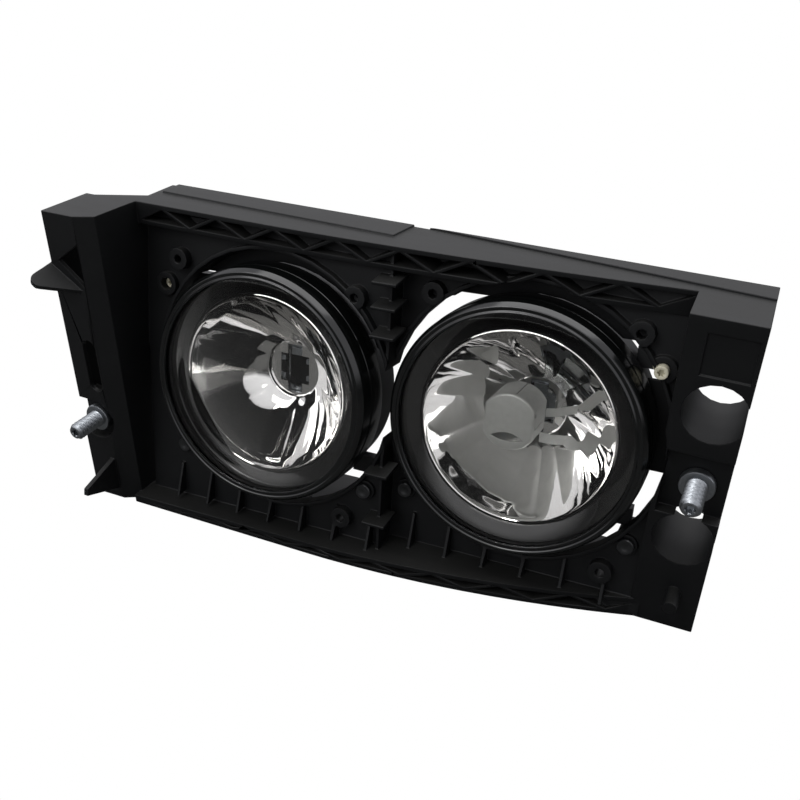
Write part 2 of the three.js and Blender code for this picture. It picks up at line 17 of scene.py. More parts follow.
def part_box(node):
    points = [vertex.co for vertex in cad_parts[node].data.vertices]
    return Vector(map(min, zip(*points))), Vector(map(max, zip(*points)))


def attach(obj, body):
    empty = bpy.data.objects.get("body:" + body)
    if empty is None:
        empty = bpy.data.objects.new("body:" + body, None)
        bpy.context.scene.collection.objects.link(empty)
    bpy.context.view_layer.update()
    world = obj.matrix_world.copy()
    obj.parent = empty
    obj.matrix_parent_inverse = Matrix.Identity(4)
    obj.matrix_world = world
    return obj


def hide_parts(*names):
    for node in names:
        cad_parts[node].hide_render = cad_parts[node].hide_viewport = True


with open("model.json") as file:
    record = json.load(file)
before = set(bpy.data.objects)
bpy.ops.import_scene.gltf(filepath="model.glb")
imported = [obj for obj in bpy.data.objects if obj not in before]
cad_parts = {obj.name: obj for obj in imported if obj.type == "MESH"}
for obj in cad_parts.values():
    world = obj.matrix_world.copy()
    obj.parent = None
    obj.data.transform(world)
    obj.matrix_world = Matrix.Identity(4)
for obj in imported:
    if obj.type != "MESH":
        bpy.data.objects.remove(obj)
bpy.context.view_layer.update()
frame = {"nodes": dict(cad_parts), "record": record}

scene = bpy.context.scene
MM = 0.001
SIDES = ("left", "right")

# %% [markdown]
# ## Camera first
# The camera stands in front and to the right, a third of a metre above the table, and looks down by thirty degrees.
# Three plain turns place it: heading, tilt, then a little roll.

# %% Camera
CAMERA_AT = Vector((168.2, -321.7, 304.8)) * MM
CAMERA_HEADING = radians(25.9)
CAMERA_DOWN = radians(29.95)
CAMERA_ROLL = radians(-1.45)
FOCAL_LENGTH = 38.36
SENSOR_WIDTH = 36.0

camera = bpy.data.objects.new("camera", bpy.data.cameras.new("camera"))
camera.data.sensor_width = SENSOR_WIDTH
camera.data.lens = FOCAL_LENGTH
turn = Matrix.Rotation(CAMERA_HEADING, 4, "Z") @ Matrix.Rotation(pi / 2 - CAMERA_DOWN, 4, "X")
camera.matrix_world = Matrix.Translation(CAMERA_AT) @ turn @ Matrix.Rotation(CAMERA_ROLL, 4, "Z")
scene.collection.objects.link(camera)
scene.camera = camera
scene.view_settings.view_transform = "Standard"

# %% [markdown]
# ## Nodes and colours
# Materials and geometry trees are both made of nodes, so one helper serves them all. Colours are written as sRGB hex,
# and one function makes them linear, because light adds up in linear numbers.

# %% Helpers for nodes and colours
def add_node(tree, kind, links=None, **settings):
    """A new node with its settings; links gives each named input a value or another node's output."""
    node = tree.nodes.new(kind)
    for name, value in settings.items():
        setattr(node, name, value)
    for name, value in (links or {}).items():
        if isinstance(value, bpy.types.Node):
            value = value.outputs[0]
        if isinstance(value, bpy.types.NodeSocket):
            tree.links.new(value, node.inputs[name])
        else:
            node.inputs[name].default_value = value
    return node


def linear(colour):
    """An sRGB hex colour as linear RGBA."""
    parts = [int(colour[i:i + 2], 16) / 255 for i in (0, 2, 4)]
    return tuple(p / 12.92 if p <= 0.04045 else ((p + 0.055) / 1.055) ** 2.4 for p in parts) + (1.0,)


def new_finish(name, colour, roughness, **sockets):
    """A material with a Principled shader. Its plain numbers go on the shader's own sockets."""
    finish = bpy.data.materials.new(name)
    finish.use_nodes = True
    finish.diffuse_color = linear(colour)
    tree = finish.node_tree
    tree.nodes.clear()
    shader = add_node(tree, "ShaderNodeBsdfPrincipled",
                      {"Base Color": linear(colour), "Roughness": roughness, **sockets})
    add_node(tree, "ShaderNodeOutputMaterial", {"Surface": shader})
    return finish, tree, shader


def noise(tree, scale, detail, **more):
    """A noise over the piece's own coordinates."""
    place = add_node(tree, "ShaderNodeTexCoord")
    return add_node(tree, "ShaderNodeTexNoise",
                    {"Vector": place.outputs["Object"], "Scale": scale, "Detail": detail, **more})


def ranged(tree, value, low, high, **more):
    """A value between 0 and 1, stretched to run from low to high."""
    return add_node(tree, "ShaderNodeMapRange", {"Value": value, "To Min": low, "To Max": high, **more})


def colour_by(tree, shader, factor, first, second):
    """The base colour runs from first to second."""
    blend = add_node(tree, "ShaderNodeMix", {"Factor": factor, "A": first, "B": second}, data_type="RGBA")
    tree.links.new(blend.outputs["Result"], shader.inputs["Base Color"])


def bump_by(tree, shader, height, strength, distance):
    bump = add_node(tree, "ShaderNodeBump", {"Height": height, "Strength": strength, "Distance": distance})
    tree.links.new(bump.outputs[0], shader.inputs["Normal"])


# %% [markdown]
# ## Light and floor
# Glossy black plastic and mirrors show little but the room they stand in, so the room is what gets lit:
# a wide soft ceiling for the top faces, a dim wall of light in front that the masks mirror, and two small lamps for
# the bowls. The camera sees the paper and the world pure white, like a light table. Shiny surfaces see the paper as
# dark grey out to FLAG_START, and above it a world that brightens with height.

# %% World, lights and floor
def area_light(name, at, look_at, width, height, watts):
    """A soft rectangular light that faces a point."""
    light = bpy.data.lights.new(name, "AREA")
    light.shape = "RECTANGLE"
    light.size, light.size_y, light.energy = width, height, watts
    lamp = bpy.data.objects.new(name, light)
    lamp.location = at
    lamp.rotation_euler = (Vector(look_at) - Vector(at)).to_track_quat("-Z", "Y").to_euler()
    scene.collection.objects.link(lamp)


area_light("ceiling_light", (0.1, 0.35, 1.5), (0.0, 0.05, 0.0), 1.7, 1.7, 21.0)
area_light("overhead_box", (-0.85, -0.35, 1.45), (0.0, 0.0, 0.1), 0.42, 0.55, 3.0)
area_light("front_wall_light", (-0.9, -2.0, 1.6), (0.0, 0.0, 0.1), 2.4, 1.1, 13.0)
area_light("spot_light", (-0.35, -0.75, 1.0), (0.0, 0.0, 0.1), 0.34, 0.34, 3.2)

SKY_RISE = {"From Min": 0.04, "From Max": 0.2}
FLAG_START, FLAG_END = 8.0, 11.0

world = bpy.data.worlds.new("studio")
scene.world = world
world.use_nodes = True
tree = world.node_tree
tree.nodes.clear()
rays = add_node(tree, "ShaderNodeLightPath")
place = add_node(tree, "ShaderNodeTexCoord")
sky = add_node(tree, "ShaderNodeSeparateXYZ", {0: place.outputs["Generated"]})
height = ranged(tree, sky.outputs["Z"], 0.1, 2.1, **SKY_RISE)
shiny = add_node(tree, "ShaderNodeMath", {0: height, 1: rays.outputs["Is Glossy Ray"]}, operation="MULTIPLY")
seen = ranged(tree, rays.outputs["Is Camera Ray"], 0.1, 2.0)
room = add_node(tree, "ShaderNodeMath", {0: shiny, 1: seen}, operation="ADD")
backdrop = add_node(tree, "ShaderNodeBackground", {"Color": linear("bcbcc0"), "Strength": room})
add_node(tree, "ShaderNodeOutputWorld", {"Surface": backdrop})

floor_finish, tree, shader = new_finish("pale_floor_paper", "f4f4f3", 0.7)
rays = add_node(tree, "ShaderNodeLightPath")
dark_paper = add_node(tree, "ShaderNodeBsdfDiffuse", {"Color": linear("6c6c6c")})
lit_paper = add_node(tree, "ShaderNodeEmission", {"Color": linear("ffffff"), "Strength": 1.0})
place = add_node(tree, "ShaderNodeTexCoord")
away = add_node(tree, "ShaderNodeVectorMath", {0: place.outputs["Object"]}, operation="LENGTH")
flag_edge = ranged(tree, away.outputs["Value"], 0.0, 1.0, **{"From Min": FLAG_START, "From Max": FLAG_END})
flagged = add_node(tree, "ShaderNodeMixShader", {"Fac": flag_edge, 1: dark_paper, 2: lit_paper})
shiny = add_node(tree, "ShaderNodeMixShader", {"Fac": rays.outputs["Is Glossy Ray"], 1: shader, 2: flagged})
seen = add_node(tree, "ShaderNodeMixShader", {"Fac": rays.outputs["Is Camera Ray"], 1: shiny, 2: lit_paper})
tree.links.new(seen.outputs[0], tree.nodes["Material Output"].inputs["Surface"])
FLOOR_HALF = 12.0
floor = bpy.data.objects.new("floor", bpy.data.meshes.new("floor"))
corners = [(x * FLOOR_HALF, y * FLOOR_HALF, 0.0) for x, y in ((-1, -1), (1, -1), (1, 1), (-1, 1))]
floor.data.from_pydata(corners, [], [(0, 1, 2, 3)])
floor.data.materials.append(floor_finish)
scene.collection.objects.link(floor)

# %% [markdown]
# ## Moulded nylon
# The carrier is a black glass-filled nylon moulding. It comes out of the tool satin, with a fine even grain, and its
# upper faces hold a film of grey dust and a few wiping marks. A noise at the grain's size tilts the surface, and the
# dust follows the part of the surface that looks up, broken by a noise drawn out along the part.

# %% Carrier plastic
GRAIN = 0.45 * MM
carrier_plastic, tree, shader = new_finish("moulded_glass_filled_nylon", "141516", 0.5, **{"Specular IOR Level": 0.2})
place = add_node(tree, "ShaderNodeTexCoord")
smears = add_node(tree, "ShaderNodeMapping", {"Vector": place.outputs["Object"], "Scale": (12.0, 60.0, 60.0)})
dust = add_node(tree, "ShaderNodeTexNoise", {"Vector": smears, "Scale": 1.0, "Detail": 6.0, "Roughness": 0.65})
facing = add_node(tree, "ShaderNodeSeparateXYZ", {"Vector": place.outputs["Normal"]})
upward = ranged(tree, facing.outputs["Z"], 0.0, 0.85, **{"From Min": 0.55, "From Max": 1.0})
patches = ranged(tree, dust, 0.45, 1.0, **{"From Min": 0.25, "From Max": 0.75})
film = add_node(tree, "ShaderNodeMath", {0: upward, 1: patches}, operation="MULTIPLY")
colour_by(tree, shader, film, linear("0a0b0c"), linear("212120"))
tree.links.new(ranged(tree, dust, 0.42, 0.62).outputs[0], shader.inputs["Roughness"])
bump_by(tree, shader, noise(tree, 1 / GRAIN, 3.0), 0.16, 0.05 * MM)

# %% [markdown]
# ## The other black plastics
# More blacks, each from its own tool and resin: a matt body, a semi-gloss ring, a mask polished like piano lacquer
# and a softer, greyer cap. They differ in roughness, in how strongly the surface mirrors, and in the size of the
# grain, not in a flat shade of black. The aim screws are natural nylon.

# %% A function for moulded plastics
def moulded(name, colour, roughness, shine, grain_size, grain_depth):
    """A moulded plastic: grain_size and grain_depth in metres, and a slow change of gloss over 20 mm."""
    finish, tree, shader = new_finish(name, colour, roughness, **{"Specular IOR Level": shine})
    bump_by(tree, shader, noise(tree, 1 / grain_size, 2.0), 0.25, grain_depth)
    flow = noise(tree, 50.0, 4.0)
    gloss = ranged(tree, flow, roughness * 0.8, roughness * 1.25)
    tree.links.new(gloss.outputs[0], shader.inputs["Roughness"])
    pale = tuple(min(1.0, part * 1.9) for part in linear(colour)[:3]) + (1.0,)
    colour_by(tree, shader, flow, linear(colour), pale)
    return finish


lamp_plastic = moulded("moulded_black_polyester", "121314", 0.5, 0.4, 0.5 * MM, 0.04 * MM)
ring_plastic = moulded("semi_gloss_black_polycarbonate", "070808", 0.16, 0.5, 6.0 * MM, 0.02 * MM)
mask_plastic = moulded("polished_black_polycarbonate", "050506", 0.05, 0.95, 9.0 * MM, 0.01 * MM)
cap_plastic = moulded("satin_black_polypropylene", "191a1b", 0.45, 0.35, 0.7 * MM, 0.05 * MM)
pivot_acetal = moulded("smooth_black_acetal", "101112", 0.3, 0.45, 1.5 * MM, 0.02 * MM)
seal_rubber = moulded("matt_black_rubber", "151515", 0.8, 0.3, 0.4 * MM, 0.05 * MM)
aim_nylon = moulded("natural_nylon", "a9a593", 0.42, 0.4, 0.8 * MM, 0.03 * MM)

# %% [markdown]
# ## Metals
# The studs, holders and sleeves are zinc-plated steel, a pale metal that is duller in patches. The bowls are plastic
# with aluminium condensed on it in a vacuum, so they mirror, and only the moulding's slow ripple disturbs the
# picture. The bulb's shield is sheet steel with a satin grey coat.

# %% A function for metals
def metal(name, bright, dull, roughness, patch_size, ripple=0.0, bare=1.0):
    """A metal whose plating varies in patches from bright to dull; ripple is the depth of a slow wave."""
    finish, tree, shader = new_finish(name, bright, roughness, Metallic=bare)
    patches = noise(tree, 1 / patch_size, 5.0, Roughness=0.6)
    colour_by(tree, shader, patches, linear(bright), linear(dull))
    gloss = ranged(tree, patches, roughness * 0.7, roughness * 1.3)
    tree.links.new(gloss.outputs[0], shader.inputs["Roughness"])
    if ripple:
        bump_by(tree, shader, noise(tree, 70.0, 1.0), 0.5, ripple)
    return finish


zinc_steel = metal("bright_zinc_plated_steel", "9c9fa2", "74787c", 0.38, 1.6 * MM)
spring_steel = metal("drawn_spring_steel_wire", "cfd1d3", "a6a9ac", 0.25, 0.8 * MM)
bowl_mirror = metal("vacuum_coated_aluminium", "f5f4f3", "e8e7e6", 0.035, 14.0 * MM, ripple=0.25 * MM)
shield_steel = metal("satin_grey_sheet_steel", "d4d5d3", "bcbdba", 0.42, 3.0 * MM, bare=0.35)
pin_brass = metal("tinned_brass", "d0bd8a", "b39a5c", 0.3, 1.2 * MM)
tungsten = metal("drawn_tungsten_wire", "8c8a86", "6b6966", 0.35, 0.3 * MM)

# %% [markdown]
# ## Clear glass
# The front glass is plain and 3 mm thick. True refraction would stop the lamps from lighting the bowl behind it. So
# the glass is mixed from a clear pass-through and a mirror, and the Fresnel node shares them out as glass does:
# little mirror face on, much at a glancing angle. Fine dust dims the mirror in specks.

# %% A function for clear glass
def clear_glass(name, tint, index):
    """Glass that lets light straight through, with a true Fresnel reflection."""
    finish, tree, shader = new_finish(name, tint, 0.02)
    tree.nodes.remove(shader)
    dimmed = ranged(tree, noise(tree, 600.0, 2.0), 0.8, 1.0)
    mirror = add_node(tree, "ShaderNodeBsdfGlossy", {"Color": dimmed, "Roughness": 0.0})
    through = add_node(tree, "ShaderNodeBsdfTransparent", {"Color": linear(tint)})
    share = add_node(tree, "ShaderNodeFresnel", {"IOR": index})
    glass = add_node(tree, "ShaderNodeMixShader", {"Fac": share, 1: through, 2: mirror})
    tree.links.new(glass.outputs[0], tree.nodes["Material Output"].inputs["Surface"])
    return finish


lens_glass = clear_glass("pressed_clear_glass", "fbfbfa", 1.45)
bulb_quartz = clear_glass("drawn_quartz_glass", "f4f6f6", 1.46)

# %% [markdown]
# ## Shapes that are turned
# Most of a lamp is turned about its own axis: rings, glass, bowl, cap. One function turns a profile of radius and
# depth in millimetres, and another takes the sharpness off the profile's corners first, because no moulded or
# pressed edge is sharp, and a rounded one catches the light as a thin line. A radius may also be a function of the
# angle, which makes a hole that isn't round.

# %% Turning and placing
def softened(profile, reach=0.5, steps=4):
    """The profile with each corner replaced by a short curve that starts and ends reach away from it."""
    closed = profile[0][0] > 0
    last = len(profile) - 1
    points = []
    for i, corner in enumerate(profile):
        if not closed and i in (0, last):
            points.append(corner)
            continue
        here = Vector(corner)
        ends = []
        for other in (Vector(profile[i - 1]), Vector(profile[(i + 1) % len(profile)])):
            away = other - here
            ends.append(here + away * min(reach / away.length, 0.45))
        for k in range(steps + 1):
            t = k / steps
            points.append(tuple(ends[0] * (1 - t) ** 2 + here * 2 * t * (1 - t) + ends[1] * t ** 2))
    return points


def turned(profile, steps=96, angles=None):
    """Corners and faces of a profile turned about Y. It closes on itself, or starts and ends on the axis."""
    angles = angles or [tau * k / steps for k in range(steps)]
    count = len(angles)
    corners, rings, faces = [], [], []
    for radius, y in profile:
        at = radius if callable(radius) else (lambda angle, r=radius: r)
        start = len(corners)
        if radius == 0:
            corners.append((0.0, y, 0.0))
            rings.append([start] * count)
        else:
            corners += [(at(a) * cos(a), y, at(a) * sin(a)) for a in angles]
            rings.append(list(range(start, start + count)))
    if profile[0][0] != 0:
        rings.append(rings[0])
    for low, high in zip(rings, rings[1:]):
        for k in range(count):
            ring = [low[k], low[(k + 1) % count], high[(k + 1) % count], high[k]]
            faces.append(list(dict.fromkeys(ring)))
    return corners, [f for f in faces if len(f) > 2]


def block(x, y, z):
    """Corners and faces of a box between three pairs of limits."""
    corners = [(x[i], y[j], z[k]) for i in (0, 1) for j in (0, 1) for k in (0, 1)]
    return corners, [(0, 1, 3, 2), (4, 6, 7, 5), (0, 4, 5, 1), (2, 3, 7, 6), (0, 2, 6, 4), (1, 5, 7, 3)]


def joined(*shapes):
    """Several shapes as one list of corners and faces."""
    corners, faces = [], []
    for some_corners, some_faces in shapes:
        first = len(corners)
        corners += some_corners
        faces += [[first + i for i in face] for face in some_faces]
    return corners, faces


def clean_mesh(mesh):
    """Merge doubles, point the faces outwards, and shade smooth up to a clear edge."""
    work = bmesh.new()
    work.from_mesh(mesh)
    bmesh.ops.remove_doubles(work, verts=work.verts, dist=MERGE)
    bmesh.ops.recalc_face_normals(work, faces=work.faces)
    work.to_mesh(mesh)
    work.free()
    mesh.shade_smooth()
    mesh.set_sharp_from_angle(angle=EDGE_ANGLE)


MERGE = 0.5e-6
EDGE_ANGLE = radians(32)


def level_normals(piece):
    """Flat faces keep their own normal right up to their rounded edges."""
    weighing = piece.modifiers.new("weighing", "WEIGHTED_NORMAL")
    weighing.keep_sharp = True
    bake(piece)


def new_piece(name, shape, place, finish, bevel=0.0, bevel_steps=2):
    """A shape in millimetres, put in its place in metres, cleaned, and bevelled where bevel says how wide."""
    mesh = bpy.data.meshes.new(name)
    mesh.from_pydata(shape[0], [], shape[1])
    mesh.transform(place @ Matrix.Scale(MM, 4))
    piece = bpy.data.objects.new(name, mesh)
    scene.collection.objects.link(piece)
    clean_mesh(mesh)
    if bevel:
        rounding = piece.modifiers.new("rounding", "BEVEL")
        rounding.width, rounding.segments, rounding.limit_method = bevel * MM, bevel_steps, "ANGLE"
        rounding.use_clamp_overlap = True
        bake(piece)
        clean_mesh(piece.data)
        level_normals(piece)
    piece.data.materials.clear()
    piece.data.materials.append(finish)
    return piece


def bake(piece):
    """The piece's modifiers become its mesh."""
    bpy.context.view_layer.update()
    solid = bpy.data.meshes.new_from_object(piece.evaluated_get(bpy.context.evaluated_depsgraph_get()))
    piece.modifiers.clear()
    piece.data = solid
    solid.name = piece.name


def front_of(node):
    """A place at the middle of a node's front."""
    low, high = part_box(node)
    return Matrix.Translation(((low.x + high.x) / 2, low.y, (low.z + high.z) / 2))


def settle(piece, body, slot, *nodes):
    """The piece rides on a body and stands for the nodes it replaces. Its slot is not used."""
    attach(piece, body)
    if nodes:
        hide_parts(*nodes)
    piece.data.calc_loop_triangles()
    print(piece.name, len(piece.data.loop_triangles), "triangles")
    return piece


# %% [markdown]
# ## The carrier
# One large moulding holds everything: a tray with double walls and zigzag ribs, a post on the left, a bored flange
# on the right. The frame's solid already has every wall and rib in place, but its edges are knife-sharp. A copy of
# it is merged, its flat faces are joined up, and every edge gets a half-millimetre round, as the mould's does.

# %% Carrier moulding
def carrier_moulding():
    mesh = frame["nodes"]["carrier"].data.copy()
    piece = bpy.data.objects.new("carrier_moulding", mesh)
    scene.collection.objects.link(piece)
    work = bmesh.new()
    work.from_mesh(mesh)
    bmesh.ops.remove_doubles(work, verts=work.verts, dist=2e-6)
    bmesh.ops.dissolve_limit(work, angle_limit=radians(0.8), verts=work.verts, edges=work.edges)
    bmesh.ops.triangulate(work, faces=[face for face in work.faces if len(face.verts) > 4])
    work.to_mesh(mesh)
    work.free()
    rounding = piece.modifiers.new("rounding", "BEVEL")
    rounding.width, rounding.segments, rounding.limit_method = 0.45 * MM, 2, "ANGLE"
    rounding.angle_limit = radians(40)
    rounding.use_clamp_overlap = False
    rounding.loop_slide = True
    bake(piece)
    piece.data.shade_smooth()
    piece.data.set_sharp_from_angle(angle=EDGE_ANGLE)
    level_normals(piece)
    piece.data.materials.clear()
    piece.data.materials.append(carrier_plastic)
    return settle(piece, "carrier", "carrier_plastic", "carrier")


carrier_moulding()

# %% [markdown]
# ## Threads cut by geometry nodes
# A thread's height depends only on how far along and how far round the screw you are, which suits geometry nodes.
# The stud is turned first, with many plain rows, and each point carries how much thread and how much star it gets.
# The tree then moves the point to or from the axis: by the tooth, and by a six-lobed wave in the star socket.

# %% A tree that cuts a thread and a star socket
def field(tree, operation, *values):
    """One step of arithmetic on fields."""
    return add_node(tree, "ShaderNodeMath", dict(enumerate(values)), operation=operation)


def new_tree(name, **sizes):
    """A geometry node tree with a Geometry input and a named number input for each size."""
    tree = bpy.data.node_groups.new(name, "GeometryNodeTree")
    tree.interface.new_socket("Geometry", in_out="INPUT", socket_type="NodeSocketGeometry")
    for label, value in sizes.items():
        kind = "NodeSocketInt" if isinstance(value, int) else "NodeSocketFloat"
        socket = tree.interface.new_socket(label, in_out="INPUT", socket_type=kind)
        socket.default_value = value
    tree.interface.new_socket("Geometry", in_out="OUTPUT", socket_type="NodeSocketGeometry")
    return tree, add_node(tree, "NodeGroupInput"), add_node(tree, "NodeGroupOutput")


def run_tree(piece, tree, **sizes):
    """Puts a tree on a piece, sets its sizes by their sockets' identifiers, and keeps the resulting mesh."""
    step = piece.modifiers.new(tree.name, "NODES")
    step.node_group = tree
    for socket in tree.interface.items_tree:
        if socket.item_type == "SOCKET" and socket.in_out == "INPUT" and socket.name in sizes:
            step[socket.identifier] = sizes[socket.name]
    bake(piece)
    return piece


def product(tree, first, second):
    return field(tree, "MULTIPLY", first, second)


def stored(tree, name):
    """The number that each point carries under this name."""
    return add_node(tree, "GeometryNodeInputNamedAttribute", {"Name": name}, data_type="FLOAT")


def point_parts(tree):
    """Each point's three coordinates and its angle round the Y axis."""
    point = add_node(tree, "ShaderNodeSeparateXYZ", {0: add_node(tree, "GeometryNodeInputPosition")})
    x, y, z = (point.outputs[k] for k in range(3))
    return x, y, z, field(tree, "ARCTAN2", z, x)


FLANK_SLOPE, STAR_LOBES = 1.25, 6.0
tree, entry, result = new_tree("cut_thread", Pitch=1.5 * MM, Depth=0.9 * MM, Lobe=0.16)
x, y, z, angle = point_parts(tree)
squares = field(tree, "ADD", product(tree, x, x), product(tree, z, z))
radius = field(tree, "MAXIMUM", field(tree, "SQRT", squares), 1e-5)
turns = field(tree, "ADD", field(tree, "DIVIDE", y, entry.outputs["Pitch"]),
              field(tree, "DIVIDE", angle, tau))
flank = product(tree, field(tree, "PINGPONG", turns, 0.5), 2.0)
tooth = field(tree, "MINIMUM", product(tree, flank, FLANK_SLOPE), 1.0)
sunk = product(tree, product(tree, tooth, entry.outputs["Depth"]), stored(tree, "thread"))
lobes = field(tree, "COSINE", product(tree, angle, STAR_LOBES))
swell = product(tree, product(tree, lobes, entry.outputs["Lobe"]), stored(tree, "star"))
scale = field(tree, "SUBTRACT", 1.0, field(tree, "DIVIDE", sunk, radius))
scale = field(tree, "ADD", scale, swell)
moved = add_node(tree, "ShaderNodeCombineXYZ",
                 {"X": product(tree, x, scale), "Y": y, "Z": product(tree, z, scale)})
shaped = add_node(tree, "GeometryNodeSetPosition",
                  {"Geometry": entry.outputs["Geometry"], "Position": moved})
tree.links.new(shaped.outputs[0], result.inputs[0])
thread_tree = tree


def weigh(piece, name, weight_at):
    """Stores a number on each point, worked out from its radius and depth in millimetres."""
    weights = piece.data.attributes.new(name, "FLOAT", "POINT")
    for i, corner in enumerate(piece.data.vertices):
        weights.data[i].value = weight_at(hypot(corner.co.x, corner.co.z) / MM, corner.co.y / MM)


# %% [markdown]
# ## The two mounting studs
# Each is an M10 stud with a round collar. The nut end is threaded right up to the collar and has a star socket in
# its tip, so that the stud can be driven from the front. The collar's front is where the bumper bracket seats.

# %% Studs
STUD_R, COLLAR_R = 4.9, 8.0
COLLAR_FRONT, COLLAR_BACK, STUD_LENGTH = 17.5, 21.7, 51.5
STAR_R, STAR_DEPTH = 2.1, 3.4
THREAD_STEP = 0.2


def rows(radius, start, end, step):
    """Evenly spaced profile points along a plain cylinder."""
    count = round((end - start) / step)
    return [(radius, start + (end - start) * k / count) for k in range(count + 1)]


def stud_profile():
    tip = [(0, STAR_DEPTH), (0.9, STAR_DEPTH), (STAR_R, STAR_DEPTH - 0.2), (STAR_R, 0.35), (STAR_R + 0.25, 0.0)]
    nose = [(3.3, 0.0), (3.7, 0.15), (STUD_R, 1.3)]
    collar = [(STUD_R, COLLAR_FRONT), (7.1, COLLAR_FRONT), (7.7, COLLAR_FRONT + 0.2), (COLLAR_R, COLLAR_FRONT + 0.8),
              (COLLAR_R, COLLAR_BACK - 0.4), (COLLAR_R - 0.4, COLLAR_BACK), (STUD_R, COLLAR_BACK)]
    tail = rows(STUD_R, COLLAR_BACK + 0.3, STUD_LENGTH - 1.2, THREAD_STEP) + [(4.0, STUD_LENGTH), (0, STUD_LENGTH)]
    return tip + nose + rows(STUD_R, 1.4, COLLAR_FRONT - 0.3, THREAD_STEP) + collar + tail


def thread_weight(radius, depth):
    on_shank = radius > STUD_R - 0.05 and radius < STUD_R + 0.05
    clear_of_collar = min(abs(depth - COLLAR_FRONT), abs(depth - COLLAR_BACK)) / 1.0
    inside_collar = COLLAR_FRONT <= depth <= COLLAR_BACK
    return 0.0 if inside_collar or not on_shank else min(1.0, clear_of_collar)


for side in SIDES:
    stud = new_piece(f"{side}_threaded_stud", turned(stud_profile(), 60), Matrix.Identity(4), zinc_steel)
    weigh(stud, "thread", thread_weight)
    weigh(stud, "star", lambda radius, depth: float(radius < STAR_R + 0.1 and radius > 0.5))
    run_tree(stud, thread_tree, Pitch=1.5 * MM, Depth=0.85 * MM, Lobe=0.17)
    stud.data.transform(front_of(f"{side}_stud"))
    clean_mesh(stud.data)
    settle(stud, "carrier", "zinc_steel", f"{side}_stud")

# %% [markdown]
# ## A frame for each lamp
# Everything in a lamp is turned about the lamp's own axis, which looks forward and ten degrees up. The frame already
# knows that axis: the rear cap twists about it. So each lamp's place is worked out from its cap's joint, and its
# pieces are drawn with depth 0 at the bowl's rim, growing towards the back.

# %% Lamp places
CAP_DEPTH = 66 * MM
lamp_place = {}
for joint in frame["record"]["behaviour"]["joints"]:
    if joint["name"].endswith("_cap_twist"):
        axis = Vector(joint["axis"])
        centre = Vector(joint["pos_m"]) - axis * CAP_DEPTH
        tilt = Matrix.Rotation(asin(axis.z), 4, "X")
        lamp_place[joint["name"].split("_")[0]] = Matrix.Translation(centre) @ tilt
print({side: [round(v, 4) for v in place.translation] for side, place in lamp_place.items()})
DEPTH = {"left": 29.0, "right": 34.0}
RIM_R, NECK_R, RING_R = 47.2, 16.5, 63.2


FINISH = {"lamp_plastic": lamp_plastic, "ring_plastic": ring_plastic, "mask_plastic": mask_plastic,
          "cap_plastic": cap_plastic, "pivot_acetal": pivot_acetal, "seal_rubber": seal_rubber,
          "aim_nylon": aim_nylon, "zinc_steel": zinc_steel, "spring_steel": spring_steel,
          "shield_steel": shield_steel, "pin_brass": pin_brass, "lens_glass": lens_glass, "bulb_quartz": bulb_quartz}


def lamp_piece(side, name, shape, slot, replaced, body=None, **rounding):
    """A piece of one lamp, drawn in the lamp's own millimetres, that rides with it."""
    piece = new_piece(f"{side}_{name}", shape, lamp_place[side], FINISH[slot], **rounding)
    return settle(piece, body or f"{side}_lamp", slot, *[f"{side}_{node}" for node in replaced])


# %% [markdown]
# ## Ring, glass, seal and mask
# From outside in: a ring clamps the glass, and its face has two fine steps that catch the light as thin circles. The
# glass is nearly flat. Behind it a polished cone masks the gap between the glass and the bowl's rim.

# %% Ring, glass, seal and mask
RING_PROFILE = [
    (57.3, -9.0), (58.4, -9.0), (58.9, -8.4), (59.5, -8.4), (60.0, -8.8), (60.9, -8.8), (RING_R - 0.4, -6.4),
    (RING_R - 0.4, 1.5), (RING_R, 2.0), (RING_R, 13.0), (61.4, 13.0), (61.4, -3.8), (60.4, -7.0), (57.3, -7.4)]
MASK_PROFILE = [(49.2, 1.2), (48.9, -0.6), (49.6, -1.0), (57.2, -3.6), (57.2, -1.6), (51.0, 1.9)]
SEAL_PROFILE = [(57.6, -3.6), (60.6, -3.6), (60.6, -1.0), (57.6, -1.0)]
GLASS_R, GLASS_BULGE, GLASS_FRONT = 57.2, 0.8, -7.9


def glass_profile():
    """Two shallow domes, 3 mm apart, with a flat rim that the ring clamps."""
    dome = [GLASS_R * k / 12 for k in range(13)]
    front = [(r, GLASS_FRONT + GLASS_BULGE * (r / GLASS_R) ** 2) for r in dome]
    back = [(r, y + 3.2) for r, y in reversed(front)]
    return front + [(59.7, -6.9), (60.1, -6.5), (60.1, -4.5), (59.7, -4.1)] + back


for side in SIDES:
    ring = turned(softened(RING_PROFILE, 0.35, 3), 144)
    seal = turned(softened(SEAL_PROFILE, 0.8, 3), 96)
    mask = turned(softened(MASK_PROFILE, 0.3, 3), 144)
    lamp_piece(side, "clamp_ring", ring, "ring_plastic", ["lamp_ring"])
    lamp_piece(side, "front_glass", turned(glass_profile(), 128), "lens_glass", ["lens"])
    lamp_piece(side, "glass_seal", seal, "seal_rubber", ["lens_seal"])
    lamp_piece(side, "polished_mask", mask, "mask_plastic", ["mask_ring"])

# %% [markdown]
# ## The two bowls
# A bowl is a parabola between rim and neck, so its smooth shape is turned. What tells the two lamps apart is laid
# over it: the long-range bowl has six broad panels with soft folds between them, and the fog bowl has close upright
# flutes that spread its light sideways. That pattern follows a rule in the angle and the radius, so a second tree
# presses it into the turned bowl, front and back alike, which keeps the wall's thickness.
# The neck ends in a flat floor with a cross-shaped hole, through which the bulb's holder shows.

